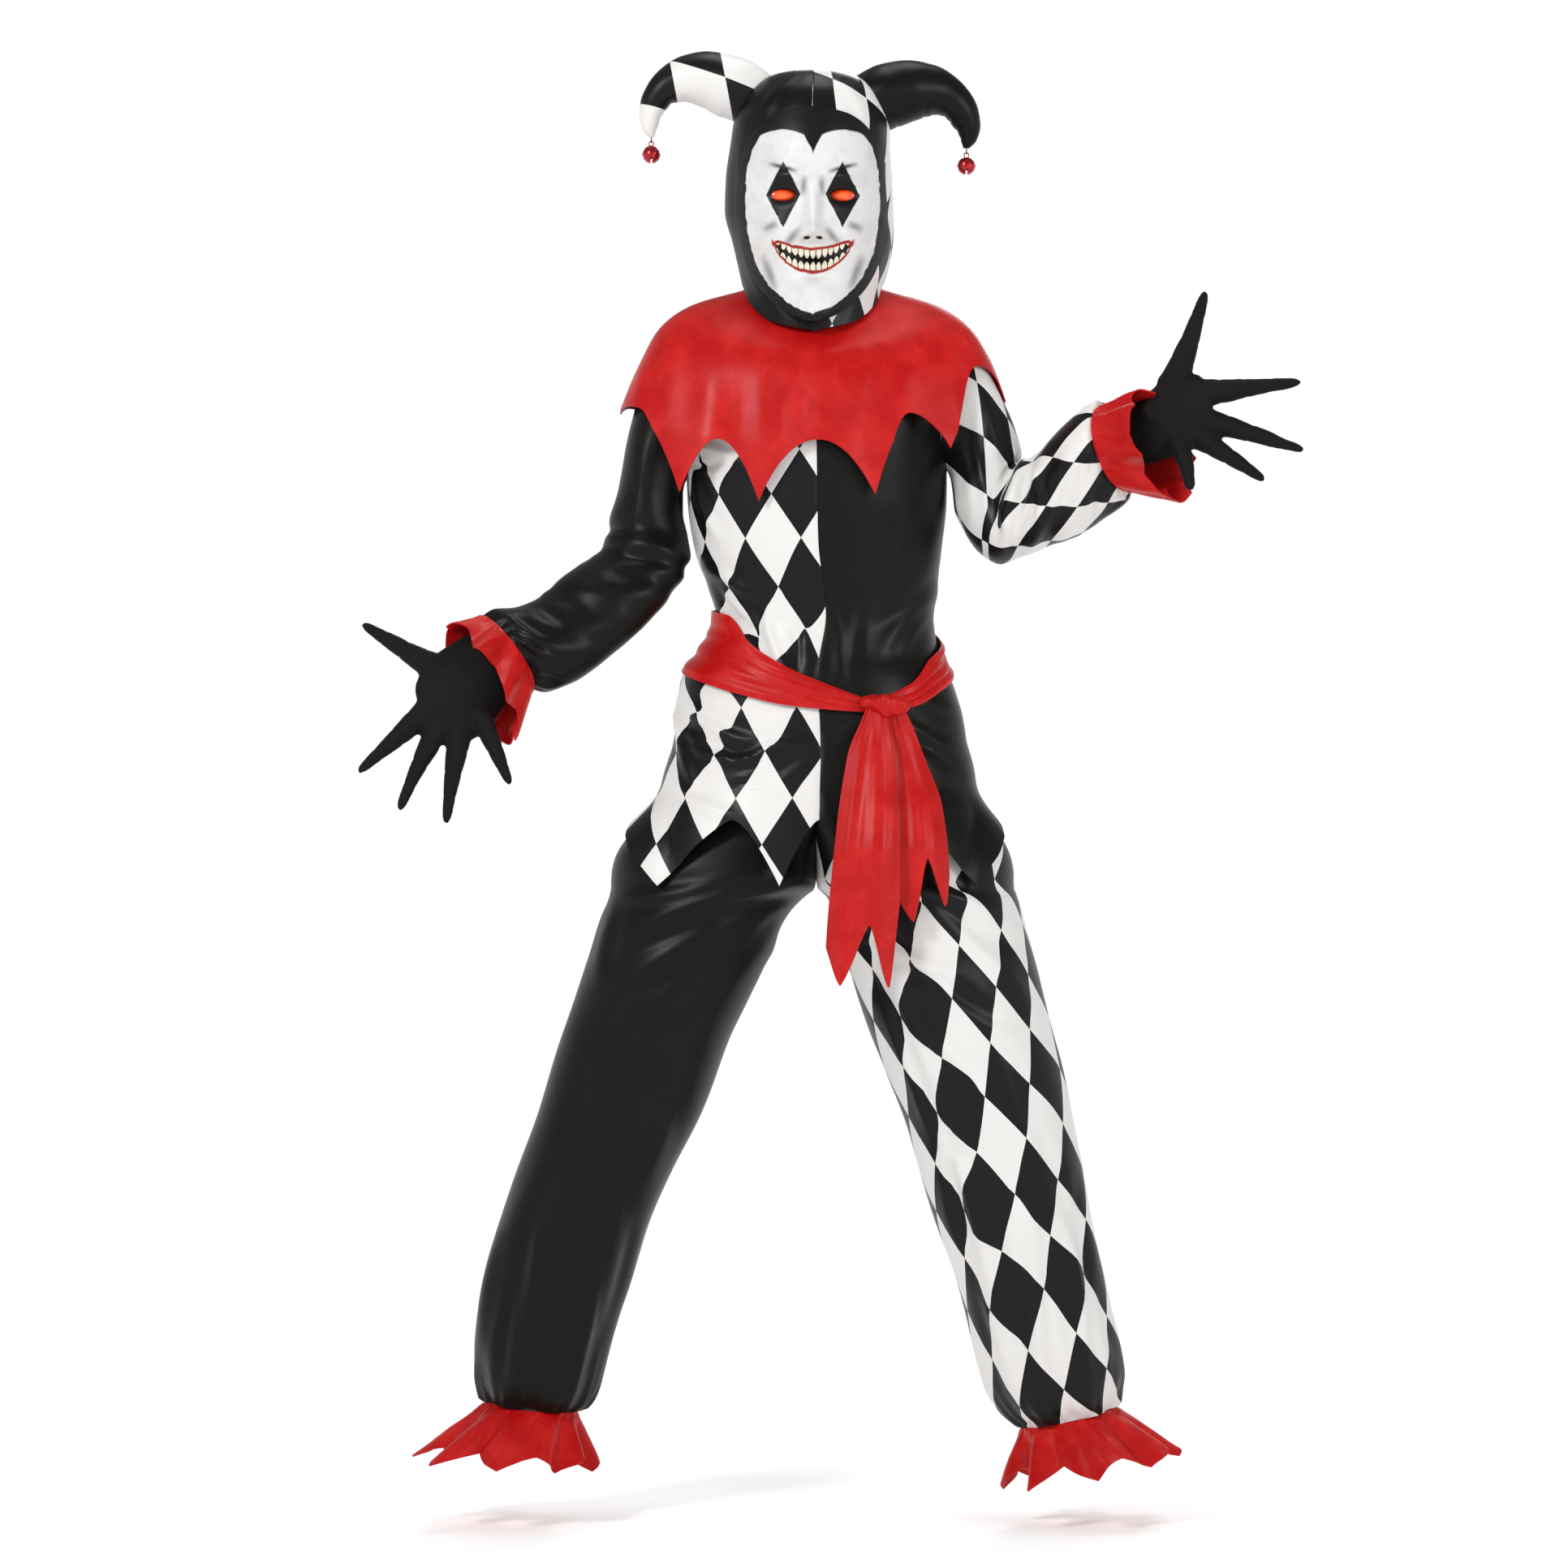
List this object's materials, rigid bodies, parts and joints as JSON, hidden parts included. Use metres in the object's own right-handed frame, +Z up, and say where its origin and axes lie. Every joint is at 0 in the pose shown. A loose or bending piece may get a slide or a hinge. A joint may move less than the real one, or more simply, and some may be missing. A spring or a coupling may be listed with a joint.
{
  "type": "jester costume",
  "caption": "Two-tone jester costume in a standing pose: harlequin and black satin suit, pointed red collar, sash, ruffled cuffs, two-horned belled hood, mask and gloves",
  "frame": {"origin": "the base of the neck, midway between the shoulders, where the wearer's shoulders carry the costume", "axes": "+Z points up the wearer, the front of the costume faces -Y, +X is the viewer's right from the front"},
  "size_m": [1.1345, 0.3956, 1.7718],
  "materials": {
    "black_satin": "black polyester satin with a soft sheen",
    "harlequin_satin": "white satin printed with black diamonds",
    "red_leatherette": "red coated cloth with a fine leather grain and a soft gloss",
    "glove_knit": "matte black stretch knit",
    "mask_shell": "moulded face shell painted white with a black border",
    "lens": "tinted eye covers",
    "bell_metal": "red metallic lacquer on thin steel",
    "thread": "dark sewing thread loop"
  },
  "bodies": {
    "root": {"tunic_back_right": "black_satin", "tunic_front_right": "black_satin", "sleeve_left": "black_satin", "leg_left": "black_satin", "hood_front_left": "black_satin", "hood_back_right": "black_satin", "horn_right": "black_satin", "tunic_front_left": "harlequin_satin", "tunic_back_left": "harlequin_satin", "sleeve_right": "harlequin_satin", "leg_right": "harlequin_satin", "hood_back_left": "harlequin_satin", "hood_front_right": "harlequin_satin", "horn_left": "harlequin_satin", "collar": "red_leatherette", "ankle_ruffle_left": "red_leatherette", "ankle_ruffle_right": "red_leatherette", "wrist_ruffle_left": "red_leatherette", "wrist_ruffle_right": "red_leatherette", "sash_band": "red_leatherette", "sash_knot": "red_leatherette", "sash_tail_long": "red_leatherette", "sash_tail_short": "red_leatherette", "glove_left": "glove_knit", "glove_right": "glove_knit", "mask": "mask_shell", "mask_lens_left": "lens", "mask_lens_right": "lens", "bell_thread_left": "thread", "bell_thread_right": "thread"},
    "bell_left": {"bell_left": "bell_metal"},
    "bell_right": {"bell_right": "bell_metal"}
  },
  "joints": [
    {"name": "bell_left_swing", "type": "hinge", "parent": "root", "child": "bell_left", "pos_m": [-0.2025, 0.006, 0.2296], "axis": [0, 1, 0], "range_deg": [-40, 40]},
    {"name": "bell_right_swing", "type": "hinge", "parent": "root", "child": "bell_right", "pos_m": [0.186, 0.006, 0.2156], "axis": [0, 1, 0], "range_deg": [-40, 40]}
  ]
}
